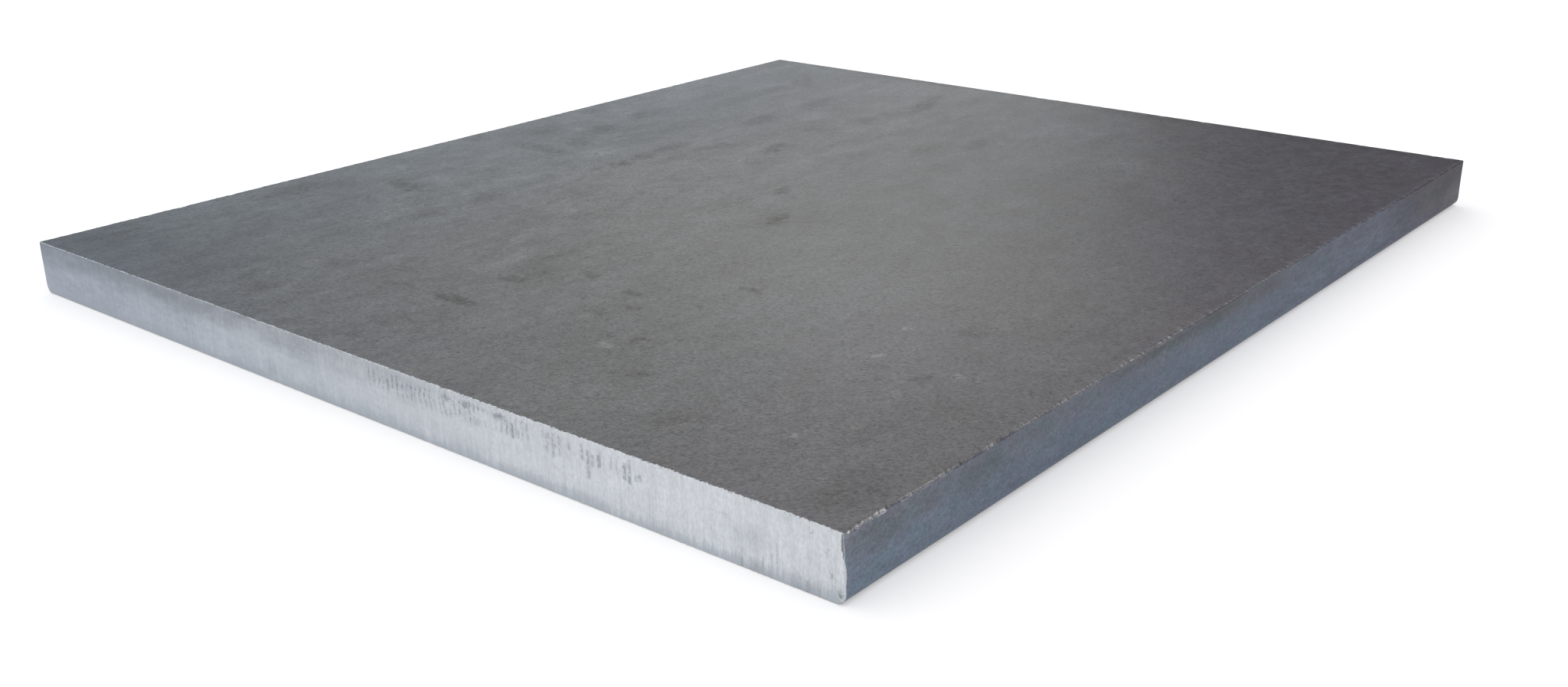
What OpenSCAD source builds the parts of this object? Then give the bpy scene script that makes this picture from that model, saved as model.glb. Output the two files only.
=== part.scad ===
// Hot-rolled steel plate, cut to a rectangle and lying flat.
// +Y is the rolling direction, +Z is up, and the origin is the centre of the underside.

/* [Plate] */
// Length of the plate, along the rolling direction
plate_length = 436; // [200:2:1000]
// Width of the plate, across the rolling direction
plate_width = 380; // [200:2:800]
// Thickness of the plate
plate_thickness = 20; // [8:0.5:60]

/* [Long sides] */
// Radius rolled over onto the lower edge of each long side
side_lower_radius = 3.5; // [0.2:0.1:3.8]
// Radius of the upper edge of each long side
side_upper_radius = 0.6; // [0.2:0.1:3.8]

/* [Cut ends] */
// Radius that the blade drew into the lower edge of each cut end
end_lower_radius = 0.6; // [0.2:0.1:3.8]
// Radius of the upper edge of each cut end, which is left almost sharp
end_upper_radius = 0.3; // [0.1:0.1:3.8]

/* [Upright corners] */
// Radius of each of the four upright corners
corner_radius = 0.5; // [0.2:0.1:10]

/* [Hidden] */

// Sides of a full circle on every rounded edge
$fn = 48;
// How far each outline is extruded past the plate on both sides
overrun = 5;

// Rectangle that stands on the X axis and is centred on the Y axis,
// with one radius on its two lower corners and another on its two upper corners
module rounded_outline(width, height, lower_radius, upper_radius) {
    half_width = width / 2;
    half_height = height / 2;
    translate([-half_width, lower_radius]) square([width, height - lower_radius - upper_radius]);
    translate([lower_radius - half_width, 0]) square([width - 2 * lower_radius, half_height]);
    translate([upper_radius - half_width, half_height]) square([width - 2 * upper_radius, half_height]);
    for (side = [-1, 1]) {
        translate([side * (half_width - lower_radius), lower_radius]) circle(r = lower_radius);
        translate([side * (half_width - upper_radius), height - upper_radius]) circle(r = upper_radius);
    }
}

// Section across the plate, which sets its width and the edges of the long sides
module cross_section() {
    rotate([90, 0, 0])
        linear_extrude(height = plate_length + 2 * overrun, center = true)
            rounded_outline(plate_width, plate_thickness, side_lower_radius, side_upper_radius);
}

// Section along the plate, which sets its length and the edges of the cut ends
module length_section() {
    rotate([90, 0, 90])
        linear_extrude(height = plate_width + 2 * overrun, center = true)
            rounded_outline(plate_length, plate_thickness, end_lower_radius, end_upper_radius);
}

// Outline from above, which sets the upright corners
module plan_outline() {
    translate([0, -plate_length / 2, -overrun])
        linear_extrude(height = plate_thickness + 2 * overrun)
            rounded_outline(plate_width, plate_length, corner_radius, corner_radius);
}

// The whole plate is one solid: what its two sections and its outline from above share
module steel_plate() {
    color("dimgray")
        intersection() {
            cross_section();
            length_section();
            plan_outline();
        }
}

steel_plate();
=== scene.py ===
import bpy
import bmesh
from math import pi, radians
from mathutils import Matrix, Vector, noise


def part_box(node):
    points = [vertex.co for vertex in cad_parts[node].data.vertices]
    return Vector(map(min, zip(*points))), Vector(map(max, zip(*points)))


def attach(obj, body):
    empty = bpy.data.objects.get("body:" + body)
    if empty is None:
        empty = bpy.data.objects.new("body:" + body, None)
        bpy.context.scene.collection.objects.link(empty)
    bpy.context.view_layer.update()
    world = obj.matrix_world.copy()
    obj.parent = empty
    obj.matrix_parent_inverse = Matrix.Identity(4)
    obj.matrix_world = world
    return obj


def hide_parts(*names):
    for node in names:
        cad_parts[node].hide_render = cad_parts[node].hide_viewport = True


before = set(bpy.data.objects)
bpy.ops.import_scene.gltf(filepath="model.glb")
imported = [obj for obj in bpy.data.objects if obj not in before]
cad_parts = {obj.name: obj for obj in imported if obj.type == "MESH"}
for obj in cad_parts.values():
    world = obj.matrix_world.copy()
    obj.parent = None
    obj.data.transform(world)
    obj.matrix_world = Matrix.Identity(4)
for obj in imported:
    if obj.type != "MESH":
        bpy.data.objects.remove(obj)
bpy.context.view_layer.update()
print("frame loaded")

mm = 0.001
low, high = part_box("steel_plate")
halfWidth = (high.x - low.x) / 2
halfLength = (high.y - low.y) / 2
thickness = high.z - low.z


# Where the camera stands, from the near lower corner, in widths of the plate
cameraSetup = {
    "fromCorner": (0.54397, -0.71377, 0.52159),
    "turnedLeft": 39.648,
    "tiltedDown": 20.898,
    "rolled": -0.7065,
    "lens": 37.285,
}


def placeCamera(setup):
    nearCorner = Vector((high.x, low.y, low.z))
    place = nearCorner + Vector(setup["fromCorner"]) * (2 * halfWidth)
    turn = Matrix.Rotation(radians(setup["turnedLeft"]), 4, "Z")
    tilt = Matrix.Rotation(radians(90 - setup["tiltedDown"]), 4, "X")
    roll = Matrix.Rotation(radians(setup["rolled"]), 4, "Z")
    data = bpy.data.cameras.new("camera")
    data.sensor_width = 36
    data.lens = setup["lens"]
    data.clip_start = 0.01
    camera = bpy.data.objects.new("camera", data)
    bpy.context.scene.collection.objects.link(camera)
    camera.matrix_world = Matrix.Translation(place) @ turn @ tilt @ roll
    bpy.context.scene.camera = camera


placeCamera(cameraSetup)
print("camera placed")


# A number that changes over a surface; working with it adds nodes to its tree
class Field:
    def __init__(self, tree, socket):
        self.tree = tree
        self.socket = socket

    def maths(self, operation, *values):
        node = self.tree.nodes.new("ShaderNodeMath")
        node.operation = operation
        for socket, value in zip(node.inputs, values):
            feed(self.tree, socket, value)
        return Field(self.tree, node.outputs[0])

    def __add__(self, other):
        return self.maths("ADD", self, other)

    def __radd__(self, other):
        return self.maths("ADD", other, self)

    def __sub__(self, other):
        return self.maths("SUBTRACT", self, other)

    def __rsub__(self, other):
        return self.maths("SUBTRACT", other, self)

    def __mul__(self, other):
        return self.maths("MULTIPLY", self, other)

    def __rmul__(self, other):
        return self.maths("MULTIPLY", other, self)

    def __truediv__(self, other):
        return self.maths("DIVIDE", self, other)

    def __rtruediv__(self, other):
        return self.maths("DIVIDE", other, self)

    def __neg__(self):
        return self.maths("MULTIPLY", self, -1)

    def __abs__(self):
        return self.maths("ABSOLUTE", self)

    def __pow__(self, other):
        return self.maths("POWER", self, other)

    def least(self, other):
        return self.maths("MINIMUM", self, other)

    def most(self, other):
        return self.maths("MAXIMUM", self, other)

    # 0 up to start, 1 from end on, with a soft slope between them
    def step(self, start, end):
        node = self.tree.nodes.new("ShaderNodeMapRange")
        node.interpolation_type = "SMOOTHSTEP"
        feed(self.tree, node.inputs["Value"], self)
        if start < end:
            bounds = (start, end, 0, 1)
        else:
            bounds = (end, start, 1, 0)
        for name, value in zip(("From Min", "From Max", "To Min", "To Max"), bounds):
            node.inputs[name].default_value = value
        return Field(self.tree, node.outputs["Result"])


def feed(tree, socket, value):
    if isinstance(value, Field):
        tree.links.new(value.socket, socket)
    else:
        socket.default_value = value


# Adds nodes to one tree
class Kit:
    def __init__(self, tree):
        self.tree = tree

    def node(self, kind, settings=None, inputs=None, output=0):
        node = self.tree.nodes.new(kind)
        for name, value in (settings or {}).items():
            setattr(node, name, value)
        for name, value in (inputs or {}).items():
            feed(self.tree, node.inputs[name], value)
        return Field(self.tree, node.outputs[output])

    def mix(self, share, first, second):
        return self.node("ShaderNodeMix", {"data_type": "RGBA", "clamp_factor": True},
                         {0: share, 6: first, 7: second}, 2)

    def scaled(self, colour, factor):
        return self.node("ShaderNodeVectorMath", {"operation": "SCALE"},
                         {"Vector": colour, "Scale": factor}, "Vector")

    def tinted(self, colour, tint):
        return self.node("ShaderNodeVectorMath", {"operation": "MULTIPLY"}, {0: colour, 1: tint}, "Vector")

    def joined(self, x, y, z=0):
        return self.node("ShaderNodeCombineXYZ", {}, {"X": x, "Y": y, "Z": z}, "Vector")


# One material, with the plate's own coordinates in millimetres at hand
class Finish(Kit):
    def __init__(self, name):
        self.material = bpy.data.materials.new(name)
        self.material.use_nodes = True
        super().__init__(self.material.node_tree)
        self.shader = self.tree.nodes["Principled BSDF"]
        coordinates = self.node("ShaderNodeTexCoord", output="Object")
        self.place = self.scaled(coordinates, 1 / mm)
        self.x = self.node("ShaderNodeSeparateXYZ", {}, {"Vector": self.place}, "X")
        self.y = self.node("ShaderNodeSeparateXYZ", {}, {"Vector": self.place}, "Y")
        self.z = self.node("ShaderNodeSeparateXYZ", {}, {"Vector": self.place}, "Z")
        self.sideGap = halfWidth / mm - abs(self.x)
        self.endGap = halfLength / mm - abs(self.y)
        self.topGap = thickness / mm - self.z

    # Noise round 0, mostly within -1 and 1, with features of that size in millimetres
    def noise(self, size, detail=2, roughness=0.5, distortion=0, shift=0, turn=0):
        scaled = self.node("ShaderNodeMapping", {"vector_type": "TEXTURE"}, {
            "Vector": self.place,
            "Location": (-shift * size[0], -0.7 * shift * size[1], -0.3 * shift * size[2]),
            "Rotation": (0, 0, radians(turn)),
            "Scale": size,
        }, "Vector")
        value = self.node("ShaderNodeTexNoise", {}, {
            "Vector": scaled, "Scale": 1, "Detail": detail,
            "Roughness": roughness, "Distortion": distortion,
        }, "Fac")
        return (value - 0.5) * 4

    # How strongly a value lies in any of the spans (from, to, strength), from 0 to 1
    def within(self, value, spans, feather):
        total = None
        for start, end, strength in spans:
            span = value.step(start - feather, start + feather) * value.step(end + feather, end - feather)
            total = span * strength if total is None else total.most(span * strength)
        return total

    # How strongly a point (across, along) lies in any of the marks, from 0 to 1
    def marked(self, across, along, marks, drift, feather):
        flat = self.joined(across, along)
        wander = self.node("ShaderNodeTexNoise", {}, {
            "Vector": flat, "Scale": 0.6 / drift, "Detail": 4, "Roughness": 0.6}, "Color")
        centred = self.node("ShaderNodeVectorMath", {"operation": "SUBTRACT"},
                            {0: wander, 1: (0.5, 0.5, 0.5)}, "Vector")
        moved = self.node("ShaderNodeVectorMath", {"operation": "MULTIPLY_ADD"},
                          {0: centred, 1: (drift * 4.5, drift * 4.5, 0), 2: flat}, "Vector")
        turned = {}
        total = None
        for x, y, halfLong, halfWide, turn, strength in marks:
            if turn not in turned:
                turned[turn] = self.node("ShaderNodeVectorRotate", {"rotation_type": "Z_AXIS"},
                                         {"Vector": moved, "Angle": radians(-turn)}, "Vector")
            centre = Matrix.Rotation(radians(-turn), 2) @ Vector((x, y))
            local = self.node("ShaderNodeVectorMath", {"operation": "MULTIPLY_ADD"}, {
                0: turned[turn], 1: (1 / halfWide, 1 / halfLong, 0),
                2: (-centre.x / halfWide, -centre.y / halfLong, 0)}, "Vector")
            away = self.node("ShaderNodeVectorMath", {"operation": "LENGTH"}, {0: local}, "Value")
            mark = away.step(1 + feather, 1 - feather) * strength
            total = mark if total is None else total.most(mark)
        return total

    def complete(self, colour, metallic, roughness, height, distance, sheen=1):
        shader = self.shader
        feed(self.tree, shader.inputs["Base Color"], colour)
        shader.inputs["Metallic"].default_value = metallic
        shader.inputs["Specular Tint"].default_value = (sheen, sheen, sheen, 1)
        feed(self.tree, shader.inputs["Roughness"], roughness)
        bump = self.node("ShaderNodeBump", {}, {"Height": height, "Distance": distance * mm}, "Normal")
        feed(self.tree, shader.inputs["Normal"], bump)
        return self.material


# The edges of the plate and the relief along them, in millimetres
plateShape = {
    "cornerRadius": 0.5,
    "tornRadius": 1.3,  # the near upright edge is torn back more and more between these heights
    "tornHeights": (10.5, 18.5),
    "sideUpperRadius": 0.6,
    "sideLowerRadius": 3.5,
    "endUpperRadius": 0.3,
    "endLowerRadius": 0.6,
    "sideStep": 0.4,  # spacing of the points along the near long side
    "endStep": 0.7,  # and along the near cut end; the far ones have half as many
    "flatInsets": (6, 3.6, 2.3, 1.5),  # loops on the flat faces beside the rim
    "upperDrops": (0, 0.03, 0.1, 0.2, 0.3, 0.45, 0.6),  # loops below the upper face
    "wallDrops": (0.95, 1.5, 2.4, 4, 6, 6.9, 7.5, 8.3, 10.5, 13.5),
    "lowerLifts": (3.5, 2.3, 1.4, 0.8, 0.45, 0.2, 0.05, 0),  # loops above the lower face
    "cell": 10,  # mesh squares of the open faces
    "burrSpans": (  # (from, to, strength) along the near long side
        (-217.5, -214, 0.8), (-214.5, -206, 0.65), (-206, -201.5, 0.9), (-196.5, -188, 0.65),
        (-188, -180, 0.5), (-180, -175.5, 0.65), (-175, -168, 0.5), (-157.5, -153.5, 0.65),
        (-141, -131, 0.45), (-123, -96, 0.5), (-92, -62, 0.45), (-62, -43, 0.55), (-43, -36, 0.3),
        (0, 32, 0.3),
    ),
    "burrZone": 1.9,  # how far from the edge the burr and chips of the long sides show
    "burrHeight": 0.42,
    "burrReach": 0.3,
    "chipDepth": 0.35,
    "chipPull": 0.3,
    "chipsFrom": (-120, -180),  # chips grow to full depth between these places
    "nickZone": 1.1,  # the same for the nicks of the cut ends
    "endNick": 0.22,
    "sideWander": (0.12, 17),  # how far the edge wanders, and over what length
    "endWander": (0.08, 12),
    "sideWave": 0.1,  # how far the middle of each wall waves
    "endWave": 0.06,
    "cornerDip": 0.5,  # how far the edges bend down at the near corner
    "dipReach": 10,
    "waviness": 0.05,
}


def outlinePoints(bm, shape):
    bmesh.ops.create_grid(bm, x_segments=1, y_segments=1, size=1)
    bmesh.ops.scale(bm, vec=(halfWidth / mm, halfLength / mm, 1), verts=bm.verts)
    bmesh.ops.bevel(bm, geom=bm.verts[:], offset=shape["tornRadius"], offset_type="OFFSET",
                    segments=5, profile=0.5, affect="VERTICES", material=-1)
    bmesh.ops.delete(bm, geom=bm.faces[:], context="FACES_ONLY")
    for edge in [e for e in bm.edges if e.calc_length() > 10 * shape["tornRadius"]]:
        middle = (edge.verts[0].co + edge.verts[1].co) / 2
        if abs(middle.x) > abs(middle.y):
            step = shape["sideStep"] * (1 if middle.x > 0 else 2)
        else:
            step = shape["endStep"] * (1 if middle.y < 0 else 2)
        bmesh.ops.subdivide_edges(bm, edges=[edge], cuts=round(edge.calc_length() / step) - 1)


# How far a rounded edge draws back at this distance from the face it runs into
def drawnBack(distance, radius):
    return radius - (radius ** 2 - max(0, radius - distance) ** 2) ** 0.5


# (inset of the long sides, inset of the cut ends, drop) of each loop, from the upper face down
def sectionLoops(shape):
    loops = [(inset, inset, 0) for inset in shape["flatInsets"]]
    for drop in shape["upperDrops"]:
        loops.append((drawnBack(drop, shape["sideUpperRadius"]), drawnBack(drop, shape["endUpperRadius"]),
                      drop))
    loops += [(0, 0, drop) for drop in shape["wallDrops"]]
    for lift in shape["lowerLifts"]:
        loops.append((drawnBack(lift, shape["sideLowerRadius"]), drawnBack(lift, shape["endLowerRadius"]),
                      thickness / mm - lift))
    loops += [(inset, inset, thickness / mm) for inset in reversed(shape["flatInsets"][:2])]
    return loops


# Radius of an upright corner at this height; the near one is torn higher up
def cornerRadiusAt(x, y, height, shape):
    if x < 0 or y > 0:
        return shape["cornerRadius"]
    start, end = shape["tornHeights"]
    torn = max(0, min(1, (height - start) / (end - start)))
    worn = shape["tornRadius"] * (0.85 + 0.3 * noise.noise(Vector((height / 1.7, 4, 9))))
    return shape["cornerRadius"] + torn * (worn - shape["cornerRadius"])


def rimLoops(bm, shape):
    outline = bm.verts.layers.float_vector.new("outline")
    outward = bm.verts.layers.float_vector.new("outward")  # its z is 1 in an upright corner
    inX = halfWidth / mm - shape["tornRadius"]
    inY = halfLength / mm - shape["tornRadius"]
    for vert in bm.verts:
        core = Vector((max(-inX, min(inX, vert.co.x)), max(-inY, min(inY, vert.co.y)), 0))
        inCorner = inX + inY - abs(core.x) - abs(core.y) < 0.001
        vert[outline] = vert.co
        vert[outward] = (vert.co - core).normalized() + Vector((0, 0, inCorner))
    loopEdges = bm.edges[:]
    loopVerts = bm.verts[:]
    firstLoop = None
    for sideInset, endInset, drop in sectionLoops(shape):
        if firstLoop is None:
            firstLoop = loopEdges
        else:
            grown = bmesh.ops.extrude_edge_only(bm, edges=loopEdges)["geom"]
            loopEdges = [e for e in grown if isinstance(e, bmesh.types.BMEdge) and len(e.link_faces) == 1]
            loopVerts = [v for v in grown if isinstance(v, bmesh.types.BMVert)]
        height = thickness / mm - drop
        for vert in loopVerts:
            x, y = vert[outline].xy
            if vert[outward].z:
                spare = shape["tornRadius"] - cornerRadiusAt(x, y, height, shape)
                x += spare * ((1 if x > 0 else -1) - vert[outward].x)
                y += spare * ((1 if y > 0 else -1) - vert[outward].y)
            vert.co = (x * (1 - sideInset * mm / halfWidth), y * (1 - endInset * mm / halfLength), height)
    return firstLoop, loopEdges


def ripple(along, size, seed):
    return noise.noise(Vector((along / size, seed * 7.31, seed * 3.17)))


# How strong the burr is at this place along the near long side
def burrAt(along, spans):
    return max(strength * max(0, min(1, 1 + along - start, 1 + end - along))
               for start, end, strength in spans)


# Burr, chips and wander along the upper edges, and the unevenness of the walls
def roughenRim(bm, shape):
    outline = bm.verts.layers.float_vector["outline"]
    outward = bm.verts.layers.float_vector["outward"]
    for vert in bm.verts:
        x, y = vert[outline].xy
        sideGap = halfWidth / mm - abs(vert.co.x)
        endGap = halfLength / mm - abs(vert.co.y)
        topGap = thickness / mm - vert.co.z
        lowGap = vert.co.z
        side = 1 if x > 0 else -1
        end = 1 if y > 0 else -1
        wall = min(1, topGap / 2) * min(1, lowGap / 3)
        shift = Vector((0, 0, 0))
        if abs(vert[outward].x) > 0.7:
            seed = 3 + side
            near = max(0, 1 - (sideGap ** 2 + topGap ** 2) / shape["burrZone"] ** 2)
            burr = burrAt(y, shape["burrSpans"]) if side > 0 else 0
            lump = max(0, ripple(y, 1.6, seed) + 0.6 * ripple(y, 0.7, seed + 5) + 0.25)
            lump *= 0.25 + 0.75 * burr ** 2
            chip = max(0, ripple(y, 5, seed + 9) + 0.5 * ripple(y, 1.1, seed + 12) - 0.25) * (1 - 0.7 * burr)
            start, full = shape["chipsFrom"]
            chip *= 0.25 + 0.75 * max(0, min(1, (start - y) / (start - full)))
            wander, size = shape["sideWander"]
            wander *= ripple(y, size, seed + 20)
            shift.z += near * (shape["burrHeight"] * lump - shape["chipDepth"] * chip)
            shift.x += side * near * (shape["burrReach"] * lump - chip * shape["chipPull"] + wander)
            shift.x += side * wall * shape["sideWave"] * noise.noise(Vector((y / 30, vert.co.z / 6, seed)))
        else:
            seed = 13 + end
            near = max(0, 1 - (endGap ** 2 + topGap ** 2) / shape["nickZone"] ** 2)
            nick = max(0, ripple(x, 2.4, seed) + 0.6 * ripple(x, 0.9, seed + 5) - 0.2)
            wander, size = shape["endWander"]
            wander *= ripple(x, size, seed + 20)
            shift.y += end * near * (wander - shape["endNick"] * nick)
            shift.z -= near * shape["endNick"] * nick
            shift.y += end * wall * shape["endWave"] * noise.noise(Vector((x / 22, vert.co.z / 7, seed)))
        fromCorner = Vector((halfWidth / mm - x, halfLength / mm + y)).length
        dip = max(0, 1 - fromCorner / shape["dipReach"]) ** 1.5 * max(0, 1 - topGap / 4)
        shift.z -= shape["cornerDip"] * dip * max(0, 1 - min(sideGap, endGap) / 1.6)
        vert.co += shift


def openFace(bm, rimEdges, height, shape, seed):
    inner = shape["flatInsets"][0] + shape["cell"] / 2
    across = halfWidth / mm - inner
    along = halfLength / mm - inner
    grid = bmesh.ops.create_grid(bm, x_segments=round(2 * across / shape["cell"]),
                                 y_segments=round(2 * along / shape["cell"]), size=1)["verts"]
    bmesh.ops.scale(bm, vec=(across, along, 1), verts=grid)
    bmesh.ops.translate(bm, vec=(0, 0, height), verts=grid)
    border = {edge for vert in grid for edge in vert.link_edges if edge.is_boundary}
    for vert in grid:
        calm = min(1, (across - abs(vert.co.x)) / 30) * min(1, (along - abs(vert.co.y)) / 30)
        swell = noise.noise(Vector((vert.co.x / 70, vert.co.y / 110, seed)))
        vert.co.z += shape["waviness"] * calm * swell
    bmesh.ops.triangle_fill(bm, use_beauty=True, use_dissolve=False, edges=list(border) + rimEdges,
                            normal=(0, 0, 1))


def buildPlate(shape):
    bm = bmesh.new()
    outlinePoints(bm, shape)
    topRim, lowRim = rimLoops(bm, shape)
    roughenRim(bm, shape)
    openFace(bm, topRim, thickness / mm, shape, 1)
    openFace(bm, lowRim, 0, shape, 2)
    bmesh.ops.recalc_face_normals(bm, faces=bm.faces)
    for face in bm.faces:
        face.smooth = True
        normal = face.normal
        if abs(normal.z) > 0.75:
            face.material_index = 0
        elif abs(normal.x) > 0.35:
            face.material_index = 1
        else:
            face.material_index = 2
    bmesh.ops.scale(bm, vec=(mm, mm, mm), verts=bm.verts)
    mesh = bpy.data.meshes.new("rolled_plate")
    bm.to_mesh(mesh)
    bm.free()
    plate = bpy.data.objects.new("rolled_plate", mesh)
    bpy.context.scene.collection.objects.link(plate)
    return plate


plate = buildPlate(plateShape)
print("plate built:", len(plate.data.polygons), "faces")


# Bright chips of the burr along the upper edges of the long sides, with painted shade in the gaps between
# them and a faint painted highlight along the rest of the near edge
burrLook = {
    "size": {"size": (1.5, 1.8, 1.5), "roughness": 0.6, "shift": 31},
    "spark": {"size": (0.7, 1.2, 0.7), "detail": 3, "roughness": 0.7, "shift": 37, "turn": 35},
    "reach": 0.35,
    "width": 0.5,  # added where the burr is strongest
    "bright": (0.62, 0.615, 0.60, 1),
    # colour of the painted shade in the gaps of the burr
    "gapShade": (0.035, 0.036, 0.038, 1),
    "gapSpans": ((-201, -197, 0.45), (-172, -159, 0.2), (-151, -143, 0.2)),
}


def withBurr(finish, colour, look):
    size = finish.noise(**look["size"])
    spark = finish.noise(**look["spark"])
    along = finish.y + 0.8 * size
    near = finish.x.step(0, 10)
    burr = finish.within(along, plateShape["burrSpans"], feather=0.8) * near
    edge = finish.sideGap.most(0) + 1.5 * finish.topGap.most(0) + 0.3 * size
    band = (edge - look["width"] * burr).step(look["reach"] + 0.3, look["reach"] - 0.1)
    # painted shade in the gaps where the burr is missing
    gapShade = finish.within(along, look["gapSpans"], feather=3) * near * spark.step(0.6, -0.5)
    colour = finish.mix(band * gapShade, colour, look["gapShade"])
    shine = (1.0 * spark + 0.6 * size + 1.5 * burr - 0.9).step(-0.3, 0.8) * (0.5 + 0.4 * burr)
    # the small constant share of the bright colour along the near edge is a painted highlight
    return finish.mix(band * shine.most((0.16 - gapShade) * near), colour, look["bright"])


# Marks are (across, along, half length, half width, turn in degrees, strength), in millimetres
# from the middle of the plate; here the length runs along the rolling direction
scaleLook = {
    "tone": 0.193,
    "sheen": 0.4,
    "metallic": 0.75,
    "roughness": 0.35,
    "patterns": {
        "fibre": {"size": (2, 1.35, 1.6), "detail": 3, "roughness": 0.6, "distortion": 1.4, "turn": 40},
        "grain": {"size": (1.4, 0.9, 0.9), "roughness": 0.6, "shift": 3, "turn": 40},
        "mottle": {"size": (3.2, 4.4, 4), "detail": 3, "roughness": 0.6, "distortion": 0.5, "shift": 5},
        "blotch": {"size": (13, 22, 15), "detail": 4, "roughness": 0.62, "distortion": 0.4, "shift": 11},
        "streak": {"size": (9, 60, 20), "detail": 3, "roughness": 0.6, "shift": 17},
        "cloud": {"size": (80, 130, 60), "shift": 23},
        "broken": {"size": (2.4, 3.4, 3), "detail": 3, "roughness": 0.68, "shift": 61},
        "ragged": {"size": (0.9, 0.9, 0.9), "detail": 3, "roughness": 0.6, "shift": 51},
    },
    "strengths": {
        "grain": 0.42, "mottle": 0.12, "blotch": 0.07, "streak": 0.03, "cloud": 0.05,
        "leftMottle": 0.05, "leftBlotch": 0.08, "leftStreak": 0.07,  # added towards the left
        "backCalm": 0.28,  # taken off the grain towards the back right
        "nearShade": 0.26, "cornerShade": 0.11, "dark": 0.34, "pale": 0.3, "fleck": 0.22,
    },
    "bump": 0.012,
    # each change over the plate starts at the first place and is full at the second
    "leftAcross": (110, -110),
    "calmAcross": (-110, 110),
    "calmAlong": (-190, 40),
    "litAlong": (-240, -50),
    "cornerAcross": (60, 165),
    "cornerAlong": (-30, -120),
    "coldAcross": (-40, -180),
    "oliveAcross": (190, 70),
    "farAlong": (-60, 130),
    "nearLeftAcross": (60, -120),
    "nearLeftAlong": (-160, -215),
    "darkMarks": (
        (-58, 173, 20, 5, 20, 0.6), (-142, 181, 16, 5, 40, 0.4), (-101, 139, 16, 5, 20, 0.5),
        (-101, 97, 13, 5, 10, 0.6), (-68, 95, 5, 5, 0, 0.35), (-61, 57, 9, 4, 20, 0.9),
        (-156, 69, 9, 4, 30, 0.6), (-178, 60, 7, 6, 0, 0.35), (-148, 36, 10, 6, 20, 0.6),
        (-170, 20, 16, 8, 40, 0.55), (-140, 12, 8, 5, 40, 0.5), (-147, -6, 5, 15, 0, 0.6),
        (-183, -11, 6, 6, 0, 0.5), (-84, 43, 11, 4, -20, 0.6), (-98, 31, 13, 3.5, 0, 0.6),
        (-97, 10, 6, 4, 0, 0.8), (-96, -4, 6, 4, 0, 1), (-98, -16, 6, 3, 0, 0.5),
        (-12, 5, 7, 3, 30, 0.7), (-20, -19, 8, 6, 0, 0.3), (12, -28, 8, 3.5, 20, 1),
        (9, 117, 13, 5, 10, 0.4), (-5, 94, 9, 4, 0, 0.45), (50, 162, 17, 5, 0, 0.4),
        (-60, 126, 8, 7, 0, 0.35), (-26, 150, 10, 7, 20, 0.3), (101, 86, 20, 7, 40, 0.3),
        (45, 213, 5, 22, 0, 0.6), (140, 214, 5, 50, 0, 0.5), (-100, 215, 3, 60, 0, 0.3),
        (-144, -83, 5, 12, -10, 0.9), (-101, -75, 9, 4, 0, 0.6), (-120, -93, 5, 8, -10, 0.4),
        (-50, -66, 9, 5, 0, 0.35), (-102, -102, 6, 7, 0, 0.5), (-172, -121, 15, 10, 30, 0.6),
        (-168, -97, 8, 8, 0, 0.4), (-176, -200, 20, 12, 0, 0.35), (3, -119, 3, 4, 0, 0.7),
        (-13, -127, 5, 6, 0, 0.45), (-15, -139, 4, 4, 40, 0.9), (28, -125, 2.5, 4, 20, 0.7),
        (39, -134, 2, 2.5, 0, 0.7), (30, -146, 2, 6, 20, 0.4), (58, -98, 2, 4, 0, 0.8),
        (56, -121, 1.8, 2.2, 0, 0.8), (61, -156, 3, 2.2, 0, 0.9), (52, -159, 2, 3, 0, 0.5),
        (82, -175, 3, 4.5, 0, 0.6), (-14, -165, 2.2, 9, 0, 1), (-36, -166, 1, 11, 0, 0.5),
        (-13, -190, 10, 1.3, 0, 0.4), (-13, -206, 2.5, 2.2, 0, 0.6), (-78, -199, 8, 5, 0, 0.45),
        (-38, -210, 3, 10, 30, 0.55), (110, -193, 4, 15, 40, 0.4), (149, -128, 3, 4, 0, 0.6),
        (140, -87, 4, 4, 0, 0.4), (178, -196, 14, 9, 0, 0.5),
        (-115, -197, 14, 30, 0, 0.3),
    ),
    "paleMarks": (
        (76, 125, 12, 12, 0, 0.6), (74, 45, 8, 4, -20, 0.5), (-120, 6, 11, 9, 0, 0.6),
        (-133, -71, 3, 14, -10, 0.55), (-86, 115, 8, 6, 20, 0.35), (-39, 117, 11, 5, 10, 0.35),
        (-34, -124, 13, 5, 0, 0.5), (121, -96, 2, 1.5, 0, 1.6), (128, -121, 3, 1, 0, 1.5),
        (156, -120, 2, 1.5, 0, 1.5), (57, -164, 1.5, 3.5, 0, 1.4), (32, -149, 2, 3, 0, 0.9),
        (145, -182, 2, 1.5, 0, 1.4), (155, -167, 2, 1, 0, 1.4), (72, -213, 1.2, 7, 10, 0.9),
        (74, -199, 14, 26, 0, 0.3), (-175, 110, 62, 14, 0, 0.4), (40, 150, 45, 30, 0, 0.25),
        (94, 105, 45, 18, 0, 0.3),
    ),
    "tints": {
        "plain": (1, 1, 1, 1),
        "grey": (0.985, 1.0, 1.015, 1),
        "warm": (1.03, 1.0, 0.95, 1),
        "cold": (0.935, 1.0, 1.045, 1),
        "olive": (0.995, 1.005, 0.995, 1),
        "purple": (1.005, 0.99, 1.022, 1),
        "far": (0.985, 1.0, 1.04, 1),
        "corner": (0.985, 1.0, 1.05, 1),
    },
}
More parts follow.
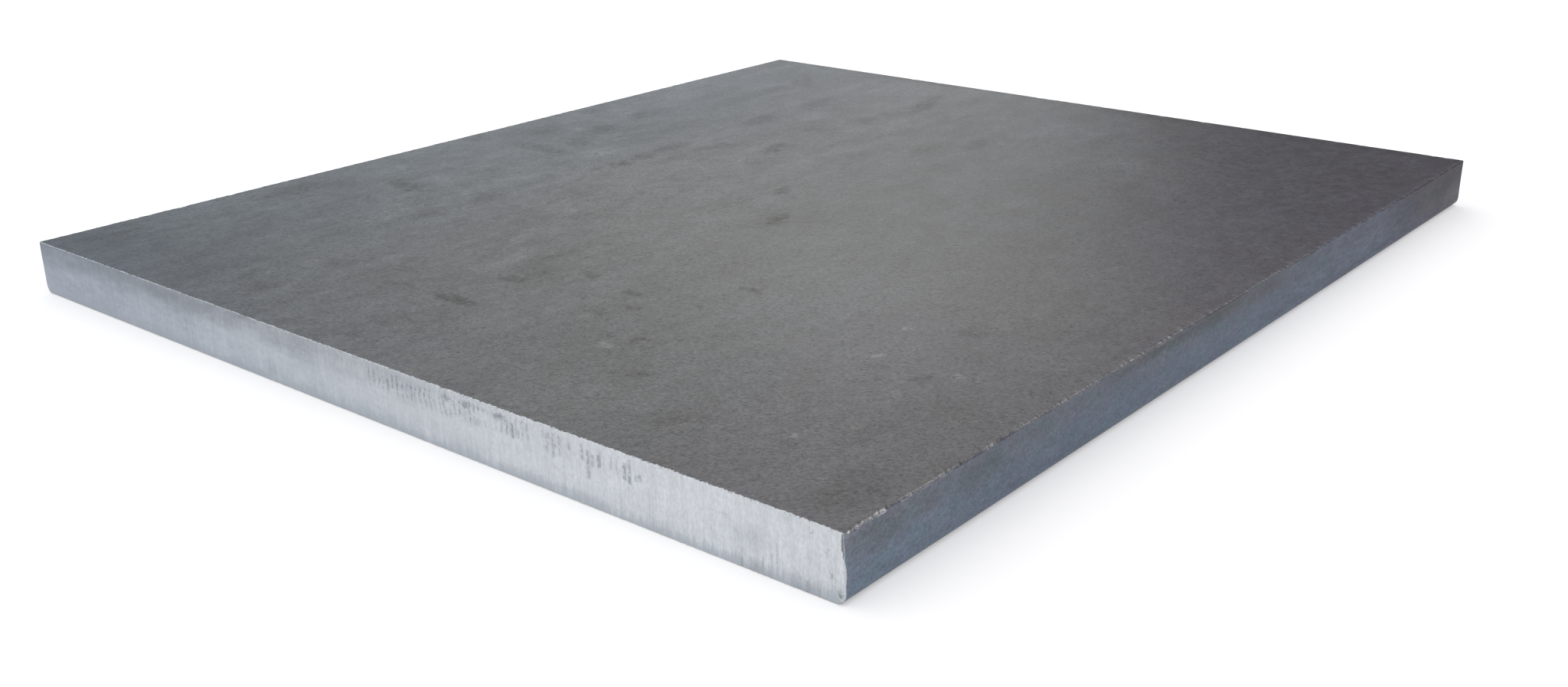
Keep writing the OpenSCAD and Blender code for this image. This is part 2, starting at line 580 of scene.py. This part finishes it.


# Light and dark of the mill scale, from its patterns and its dark and pale marks, with painted shade towards
# the near end and at the near right corner
def scaleTone(finish, look, dark, pale, fibre, grain, mottle, blotch, cloud):
    strength = look["strengths"]
    streak = finish.noise(**look["patterns"]["streak"])
    left = finish.x.step(*look["leftAcross"])
    fleck = (mottle + 0.3 * grain).step(-0.9, -1.8) * cloud.step(-0.5, 0.5)
    calm = strength["backCalm"] * finish.y.step(*look["calmAlong"])
    calm = 1 - calm * finish.x.step(*look["calmAcross"])
    tone = look["tone"] * (1 + strength["grain"] * calm * (0.7 * fibre + 0.55 * grain - 0.17))
    tone = tone * (1 + (strength["mottle"] + strength["leftMottle"] * left) * calm * mottle)
    tone = tone * (1 + (strength["blotch"] + strength["leftBlotch"] * left) * blotch)
    tone = tone * (1 + (strength["streak"] + strength["leftStreak"] * left) * streak)
    tone = tone * (1 + strength["cloud"] * cloud)
    # painted shade: the scale is drawn darker towards the near end
    lit = (finish.y + 20 * cloud).step(*look["litAlong"])
    tone = tone * (1 - strength["nearShade"] + strength["nearShade"] * lit)
    # painted shade at the near right corner
    corner = strength["cornerShade"] * finish.x.step(*look["cornerAcross"])
    tone = tone * (1 - corner * (finish.y + 15 * blotch).step(*look["cornerAlong"]))
    tone = tone * (1 - strength["dark"] * dark.least(1)) * (1 + strength["pale"] * pale.least(1.6))
    return tone * (1 - strength["fleck"] * fleck)


# Faint drift of the scale's colour over the plate: cold on the left; the purple on the right is a painted
# reflection of the dark shade there
def scaleTint(finish, look, dark, blotch, cloud):
    tints = look["tints"]
    warm = (0.35 - 0.3 * blotch - 0.2 * cloud + 0.6 * dark).most(0).least(1)
    colour = finish.mix(warm, tints["grey"], tints["warm"])
    cold = (finish.x + 30 * cloud + 22 * blotch).step(*look["coldAcross"])
    olive = (finish.x + 30 * cloud).step(*look["oliveAcross"])
    # painted reflection: purple towards the right, as the reflected shade looks
    hue = finish.mix(olive, tints["purple"], tints["olive"])
    colour = finish.tinted(colour, finish.mix(cold, hue, tints["cold"]))
    far = finish.y.step(*look["farAlong"])
    colour = finish.tinted(colour, finish.mix(far, tints["plain"], tints["far"]))
    nearLeft = finish.y.step(*look["nearLeftAlong"]) * finish.x.step(*look["nearLeftAcross"])
    return finish.tinted(colour, finish.mix(nearLeft, tints["plain"], tints["corner"]))


# Mill scale of the upper and lower face
def millScale(look):
    finish = Finish("mill_scale")
    pattern = look["patterns"]
    upper = finish.z.step(8, 12)
    fibre = (0.8 - abs(finish.noise(**pattern["fibre"])) * 2.2).most(-0.6)
    grain = finish.noise(**pattern["grain"])
    mottle = finish.noise(**pattern["mottle"])
    blotch = finish.noise(**pattern["blotch"])
    cloud = finish.noise(**pattern["cloud"])
    rough = (0.8 + 0.8 * finish.noise(**pattern["broken"])).most(0.05)
    dark = finish.marked(finish.x, finish.y, look["darkMarks"], drift=2.6, feather=0.6)
    dark = dark * upper * rough
    pale = finish.marked(finish.x, finish.y, look["paleMarks"], drift=2, feather=0.7)
    pale = pale * upper * rough
    tone = scaleTone(finish, look, dark, pale, fibre, grain, mottle, blotch, cloud)
    tint = scaleTint(finish, look, dark, blotch, cloud)
    colour = withBurr(finish, finish.scaled(tint, tone), burrLook)
    # the cut leaves the edge of the scale ragged
    lip = (finish.endGap + 0.5 * finish.noise(**pattern["ragged"])).step(0.5, 0.1)
    colour = finish.mix(lip, colour, cutLook["bright"])
    roughness = look["roughness"] + 0.05 * dark + 0.03 * mottle
    return finish.complete(colour, look["metallic"], roughness, fibre + mottle, look["bump"],
                           look["sheen"])


# Marks as on the mill scale, here (along, height, half length up, half width along, turn, strength)
sideLook = {
    "patterns": {
        "grain": {"size": (0.8, 1.1, 0.7), "detail": 3, "roughness": 0.62},
        "scuff": {"size": (3, 5, 1.6), "detail": 3, "roughness": 0.6, "shift": 6},
        "blotch": {"size": (14, 24, 6), "detail": 3, "roughness": 0.6, "distortion": 0.5, "shift": 9},
        "hue": {"size": (9, 13, 5), "detail": 3, "roughness": 0.6, "shift": 19},
    },
    "strengths": {
        "grain": 0.28, "scuff": 0.13, "blotch": 0.1, "farScuff": 0.22, "farBlotch": 0.2,
        "dark": 0.25, "endFoot": 0.55, "foot": 0.2, "nearEnd": 0.22,
    },
    "colour": (0.131, 0.163, 0.204, 1),
    "upperColour": (0.125, 0.142, 0.164, 1),
    "farColour": (0.103, 0.118, 0.153, 1),
    "endColour": (0.057, 0.053, 0.067, 1),
    "upperHeights": (6, 19),  # where each change starts and where it is full
    "farAlong": (-50, 170),
    "endAlong": (118, 200),
    "nearEndAlong": (-140, -220),
    "endFootHeights": (15, 2),
    # the foot is lightened with painted light between these heights
    "footHeights": (4, 0),
    "bump": 0.012,
    "sheen": 0.5,
    "metallic": 0.6,
    "roughness": 0.42,
    "darkMarks": (
        (-203, 14, 4, 10, 0, 0.35), (-208, 17, 2, 8, 0, 0.4), (-186, 15, 3, 6, 0, 0.25),
        (-160, 14, 3, 9, 0, 0.3), (-57, 18, 1.5, 28, 0, 0.6), (-19, 18, 2.5, 21, 0, 0.6),
        (17, 17, 3, 15, 0, 0.45), (180, 12, 6, 13, 0, 0.4), (211, 8, 8, 12, 0, 0.4),
    ),
    "brown": (0.105, 0.110, 0.108, 1),
    "tints": ((0.955, 1.005, 1.01, 1), (1.04, 0.975, 1.03, 1)),
    "pushed": (0.46, 0.48, 0.51, 1),  # cut metal pushed a little way round the near corner
    "pushedReach": 0.45,
}


def rolledSide(look):
    finish = Finish("rolled_side")
    pattern = look["patterns"]
    strength = look["strengths"]
    grain = finish.noise(**pattern["grain"])
    scuff = finish.noise(**pattern["scuff"])
    blotch = finish.noise(**pattern["blotch"])
    near = finish.x.step(0, 10)
    upper = (finish.z + 3 * blotch).step(*look["upperHeights"])
    far = (finish.y + 25 * blotch).step(*look["farAlong"])
    end = (finish.y + 1.8 * (finish.z - 10) + 10 * blotch).step(*look["endAlong"])
    dark = finish.marked(finish.y, finish.z, look["darkMarks"], drift=1.2, feather=0.8) * near
    colour = finish.mix(upper, look["colour"], look["upperColour"])
    colour = finish.mix(far * (0.84 + 0.16 * upper), colour, look["farColour"])
    colour = finish.mix(end, colour, look["endColour"])
    colour = finish.mix(dark.least(1), colour, look["brown"])
    hue = finish.noise(**pattern["hue"])
    colour = finish.tinted(colour, finish.mix(hue.step(-0.6, 0.6), *look["tints"]))
    tone = 1 + strength["grain"] * grain
    tone = tone * (1 + (strength["scuff"] + strength["farScuff"] * far) * scuff)
    tone = tone * (1 + (strength["blotch"] + strength["farBlotch"] * far) * blotch)
    tone = tone * (1 - strength["dark"] * dark)
    tone = tone * (1 + strength["endFoot"] * end * finish.z.step(*look["endFootHeights"]))
    nearEnd = (finish.y + 30 * blotch).step(*look["nearEndAlong"])
    tone = tone * (1 + strength["nearEnd"] * nearEnd)
    # painted light: the lowest few millimetres are lightened, standing in for the white floor reflected in
    # the lower rounding
    tone = tone * (1 + strength["foot"] * finish.z.step(*look["footHeights"]))
    colour = withBurr(finish, finish.scaled(colour, tone), burrLook)
    # small worn specks low down near the cut end
    specks = (grain + scuff).step(1.1, 1.7) * finish.z.step(6, 2) * finish.y.step(-165, -200)
    colour = finish.mix(specks * near * 0.45, colour, burrLook["bright"])
    push = look["pushedReach"] * finish.z.step(0.5, 2) + 0.3 * scuff
    push = push * finish.z.step(12.5, 10)
    pushed = (finish.endGap + 0.12 * grain - push).step(0.2, -0.05) * near * finish.y.step(0, -10)
    colour = finish.mix(pushed, colour, look["pushed"])
    return finish.complete(colour, look["metallic"], look["roughness"] + 0.03 * scuff,
                           grain + scuff, look["bump"], look["sheen"])


# Ticks are (across, lowest, highest, half width, strength); patches are (from, to, strength);
# smudges are (across, height, half length up, half width across, turn, strength)
cutLook = {
    "patterns": {
        "lines": {"size": (0.42, 1, 14), "detail": 3, "roughness": 0.65},
        "bands": {"size": (1.8, 2, 24), "detail": 3, "shift": 4},
        "grain": {"size": (0.7, 0.8, 1.2), "detail": 3, "roughness": 0.65, "shift": 27},
        "broken": {"size": (0.9, 1, 1.2), "detail": 3, "roughness": 0.65, "shift": 9},
        "smear": {"size": (13, 8, 5), "detail": 4, "roughness": 0.7, "shift": 14},
        "stain": {"size": (6, 6, 2.2), "detail": 4, "roughness": 0.7, "distortion": 0.6, "shift": 41},
        "wobble": {"size": (7, 5, 5), "shift": 18},
    },
    "strengths": {
        "band": 0.33, "lines": 0.035, "bands": 0.06, "smear": 0.06, "stain": 0.09, "grain": 0.08,
        "plainLines": 0.06, "plainGrain": 0.04,  # added where the end is plain
        "foot": 0.07, "rim": 0.65, "marks": 0.62, "lip": 0.45, "streaks": 0.9,
    },
    # each change starts at the first place, height or drop and is full at the second
    "brighteningAcross": (-225, 140),  # from dull to bright
    "leftPartAcross": (140, -120),
    "plainAcross": (20, 130),
    "streakAcross": (95, 150),
    "bandDrop": (11, 0),
    "footHeights": (14, 5),
    # the painted shade of the lower rim fades out between these heights
    "rimHeights": (4.9, 0.6),
    "tickDrops": (10, 6),
    "clearDrops": (0.6, 2.6),  # the strip above the ticks
    "bright": (0.513, 0.537, 0.566, 1),
    "dull": (0.246, 0.279, 0.333, 1),
    # colour of the painted shade on the lower rim
    "rim": (0.30, 0.33, 0.37, 1),
    "scale": (0.10, 0.115, 0.14, 1),
    "metallic": 0.7,
    "roughness": 0.42,
    "bump": 0.015,
    "tickPitch": 2.2,
    "tickPatches": ((-45, 4, 0.3), (7, 40, 0.95), (40, 62, 0.9), (65, 80, 0.8), (85, 94, 0.65)),
    "ticks": (
        (58, 12, 14.3, 0.8, 0.5), (71, 13.4, 17.2, 0.6, 0.9), (73, 12.4, 16.7, 0.7, 1.0),
        (75.5, 12.9, 15.3, 0.5, 0.6), (79, 13.4, 17.2, 0.5, 0.4), (87, 12.4, 17.6, 0.5, 0.7),
        (89.5, 11.5, 18.1, 0.6, 0.8), (92, 12.4, 18.1, 0.5, 0.7), (96, 15.3, 18.1, 0.5, 0.6),
        (101, 13.4, 18.1, 0.5, 0.8), (103.2, 8.6, 17.2, 0.6, 0.8), (105, 12.9, 16.2, 0.6, 0.7),
        (107.5, 13.4, 18.1, 0.7, 0.9), (112, 14.3, 17.6, 0.4, 0.5), (114, 13.4, 17.6, 0.4, 0.5),
        (117, 12.4, 17.2, 0.6, 1.0), (118.8, 11.9, 18.6, 0.6, 1.0), (121.3, 13.2, 14.8, 0.7, 0.9),
        (122.6, 13.8, 15.7, 0.5, 0.8), (169, 3.5, 14, 0.2, 0.6),
        (157.5, 0.3, 6.2, 0.3, 0.5), (160.5, 0.3, 4.2, 0.3, 0.45), (164.4, 0.3, 5.4, 0.35, 0.55),
        (167.2, 0.3, 7.4, 0.25, 0.6), (174.5, 0.3, 5.8, 0.35, 0.6), (178.4, 0.3, 3.6, 0.5, 0.6),
        (182.2, 0.3, 2.6, 0.35, 0.5),
    ),
    "smudges": (
        (-111, 17, 2, 9, 0, 0.5), (-84, 17, 2, 9, 10, 0.6), (-67, 16, 2.5, 6, 10, 0.6),
        (-58, 19.3, 0.8, 6, 0, 0.9), (-44, 6, 2.5, 4, 0, 0.4), (-23, 12.5, 1.5, 7, 0, 0.35),
        (-8, 13, 1.2, 6, 0, 0.35), (-28, 17.5, 1.5, 10, 0, 0.4), (19, 18, 1, 13, 0, 0.35),
        (45, 17.1, 0.9, 1.9, 0, 1.5), (53, 17.4, 0.9, 1.6, 0, 1.6), (67.5, 17.2, 1.0, 2.4, 0, 1.6),
        (72, 15, 1.6, 1.6, 0, 0.6), (30, 17.8, 0.6, 4, 0, 0.5), (16, 16.5, 1.2, 4, 0, 0.5),
        (-101, 18, 1.2, 4, 0, 0.6), (-75, 15.5, 1.5, 4, 10, 0.5), (-36, 16, 1.5, 4, 10, 0.4),
        (161, 9.5, 3, 6, 0, 0.35), (150, 12.9, 0.4, 4, 0, 0.35), (177, 1.5, 2.5, 5, 0, 0.5),
        (164, 1.2, 2, 4, 0, 0.45), (186, 7.7, 1.2, 0.6, 20, 1.2), (188.7, 3.4, 1.2, 0.6, 40, 1.7),
        (184.5, 13, 1, 0.4, 0, 0.8), (180, 17, 0.6, 0.6, 0, 0.8),
    ),
    "wrapHeights": (9.5, 17.5),
    "wrapReach": 1.15,
    "torn": (0.148, 0.156, 0.166, 1),
}


# Upright ticks of scale that the cut left below the upper edge, from a comb and one by one
def cutTicks(finish, look, broken, smear, stain):
    wobble = finish.noise(**look["patterns"]["wobble"])
    turns = (finish.x + 0.8 * wobble + 0.25 * smear + 0.12 * broken) * (2 * pi / look["tickPitch"])
    comb = turns.maths("COSINE", turns).step(-0.1, 0.9)
    patches = finish.within(finish.x, look["tickPatches"], feather=3.5)
    belt = (finish.topGap + 1.4 * broken + 1.5 * wobble).step(*look["tickDrops"])
    belt = belt * (finish.topGap + 0.7 * stain).step(*look["clearDrops"])
    ticks = 0.85 * comb * (broken + 0.4 * stain).step(-0.6, 0.6) + 0.3 * stain.step(-0.5, 0.8)
    ticks = ticks * belt * patches
    for x, bottom, top, width, strength in look["ticks"]:
        across = abs(finish.x - x + 0.35 * broken).step(width + 0.4, width - 0.4)
        along = (finish.z + 0.5 * broken).step(bottom - 0.6, bottom + 0.4)
        along = along * (finish.z + 0.5 * broken).step(top + 0.6, top - 0.4)
        ticks = ticks.most(across * along * strength * broken.step(-0.9, 0.5))
    return ticks


def cutEnd(look):
    finish = Finish("cut_end")
    pattern = look["patterns"]
    strength = look["strengths"]
    lines = finish.noise(**pattern["lines"])
    bands = finish.noise(**pattern["bands"])
    grain = finish.noise(**pattern["grain"])
    broken = finish.noise(**pattern["broken"])
    smear = finish.noise(**pattern["smear"])
    near = finish.y.step(0, -10)
    brightening = (finish.x + 14 * smear).step(*look["brighteningAcross"])
    colour = finish.mix(brightening, look["dull"], look["bright"])
    # a darker band below the upper edge, towards the left
    stain = finish.noise(**pattern["stain"])
    leftPart = finish.x.step(*look["leftPartAcross"])
    band = (finish.topGap + 2.6 * smear + 1.4 * stain).step(*look["bandDrop"]) * leftPart
    plain = finish.x.step(*look["plainAcross"])
    tone = 1 - strength["band"] * band
    tone = tone * (1 + (strength["lines"] + strength["plainLines"] * plain) * lines)
    tone = tone * (1 + strength["bands"] * bands)
    tone = tone * (1 + strength["smear"] * smear) * (1 - strength["stain"] * leftPart * stain)
    tone = tone * (1 + (strength["grain"] + strength["plainGrain"] * plain) * grain)
    tone = tone * (1 + strength["foot"] * finish.z.step(*look["footHeights"]) * brightening.step(0.9, 0.1))
    colour = finish.scaled(colour, tone)
    # painted shade on the rounded lower rim, running up in streaks
    rim = finish.z + 1.2 * bands + (0.4 + 1.2 * plain) * lines + 0.5 * broken + 0.8 * smear
    rim = rim.step(*look["rimHeights"])
    colour = finish.mix(rim * strength["rim"], colour, look["rim"])
    # scale left in ticks, smudges, spots and streaks
    ticks = cutTicks(finish, look, broken, smear, stain)
    smudge = finish.marked(finish.x, finish.z, look["smudges"], drift=0.9, feather=0.8)
    spots = (broken + 0.5 * grain + 0.25 * plain * finish.z.step(12, 2)).step(1.25, 1.7) * 0.6
    streaks = (lines + 0.6 * bands).step(0.5, 1.1) * (finish.z - 2.4 * bands).step(8, 1.5)
    streaks = streaks * finish.x.step(*look["streakAcross"]) * strength["streaks"]
    left = (ticks.most(smudge * (0.6 + 0.3 * broken)).most(streaks) * near).most(spots)
    colour = finish.mix(left * strength["marks"], colour, look["scale"])
    # the side's scale wraps round the upright corner
    reach = look["wrapReach"] * finish.z.step(*look["wrapHeights"])
    wrap = (finish.sideGap + 0.35 * broken - reach).step(0.3, -0.05)
    colour = finish.mix(wrap * near, colour, look["torn"])
    lip = (finish.topGap + 0.7 * broken + 0.15).step(0.35, 0.05)
    colour = finish.mix(lip * strength["lip"], colour, look["scale"])
    return finish.complete(colour, look["metallic"], look["roughness"],
                           0.6 * lines + 0.4 * grain, look["bump"])


for finished in (millScale(scaleLook), rolledSide(sideLook), cutEnd(cutLook)):
    plate.data.materials.append(finished)
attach(plate, "root")
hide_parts("steel_plate")
print("finishes made")


# Pale floor and soft white light from all round
studio = {
    "floorSize": 12,
    "floorColour": (0.76, 0.76, 0.76, 1),
    "floorGlow": 0.28,  # a lit table: keeps the shadow soft and pale
    "roomColour": (1, 1, 1, 1),
    "overheadColour": (0.72, 0.72, 0.73, 1),
    "shadeColour": (0.035, 0.012, 0.055, 1),
    "coolColour": (0.66, 0.73, 0.82, 1),
    "roomStrength": 1.52,
    "floorRoughness": 0.9,
    # each change of the room's light starts at the first share of a direction and is full at the second
    "overheadRise": (0.2, 0.8),
    "behind": (-0.1, 0.3),
    "coolLeft": (0.5, 0.72),
    "shadeLeft": (0.53, 0.40),
    "shadeRise": (0.65, 0.42),
}


def makeStudio(setup):
    bm = bmesh.new()
    bmesh.ops.create_grid(bm, x_segments=1, y_segments=1, size=setup["floorSize"] / 2)
    mesh = bpy.data.meshes.new("floor")
    bm.to_mesh(mesh)
    bm.free()
    floor = bpy.data.objects.new("floor", mesh)
    bpy.context.scene.collection.objects.link(floor)
    material = bpy.data.materials.new("pale_floor")
    material.use_nodes = True
    shader = material.node_tree.nodes["Principled BSDF"]
    shader.inputs["Base Color"].default_value = setup["floorColour"]
    shader.inputs["Roughness"].default_value = setup["floorRoughness"]
    shader.inputs["Emission Color"].default_value = (1, 1, 1, 1)
    shader.inputs["Emission Strength"].default_value = setup["floorGlow"]
    mesh.materials.append(material)
    world = bpy.data.worlds.new("studio")
    world.use_nodes = True
    room = Kit(world.node_tree)
    direction = room.node("ShaderNodeTexCoord", output="Generated")
    x = room.node("ShaderNodeSeparateXYZ", {}, {"Vector": direction}, "X")
    y = room.node("ShaderNodeSeparateXYZ", {}, {"Vector": direction}, "Y")
    up = room.node("ShaderNodeSeparateXYZ", {}, {"Vector": direction}, "Z")
    leftward = -x / (x * x + y * y + 0.0001) ** 0.5
    behind = y.step(*setup["behind"])
    overhead = up.step(*setup["overheadRise"])
    colour = room.mix(overhead, setup["roomColour"], setup["overheadColour"])
    cool = behind * (leftward - 0.6 * up).step(*setup["coolLeft"])
    colour = room.mix(cool, colour, setup["coolColour"])
    shade = behind * leftward.step(*setup["shadeLeft"]) * up.step(*setup["shadeRise"])
    colour = room.mix(shade, colour, setup["shadeColour"])
    background = room.tree.nodes["Background"]
    feed(room.tree, background.inputs["Color"], colour)
    background.inputs["Strength"].default_value = setup["roomStrength"]
    bpy.context.scene.world = world
    bpy.context.scene.view_settings.view_transform = "Standard"


makeStudio(studio)
print("studio lit")
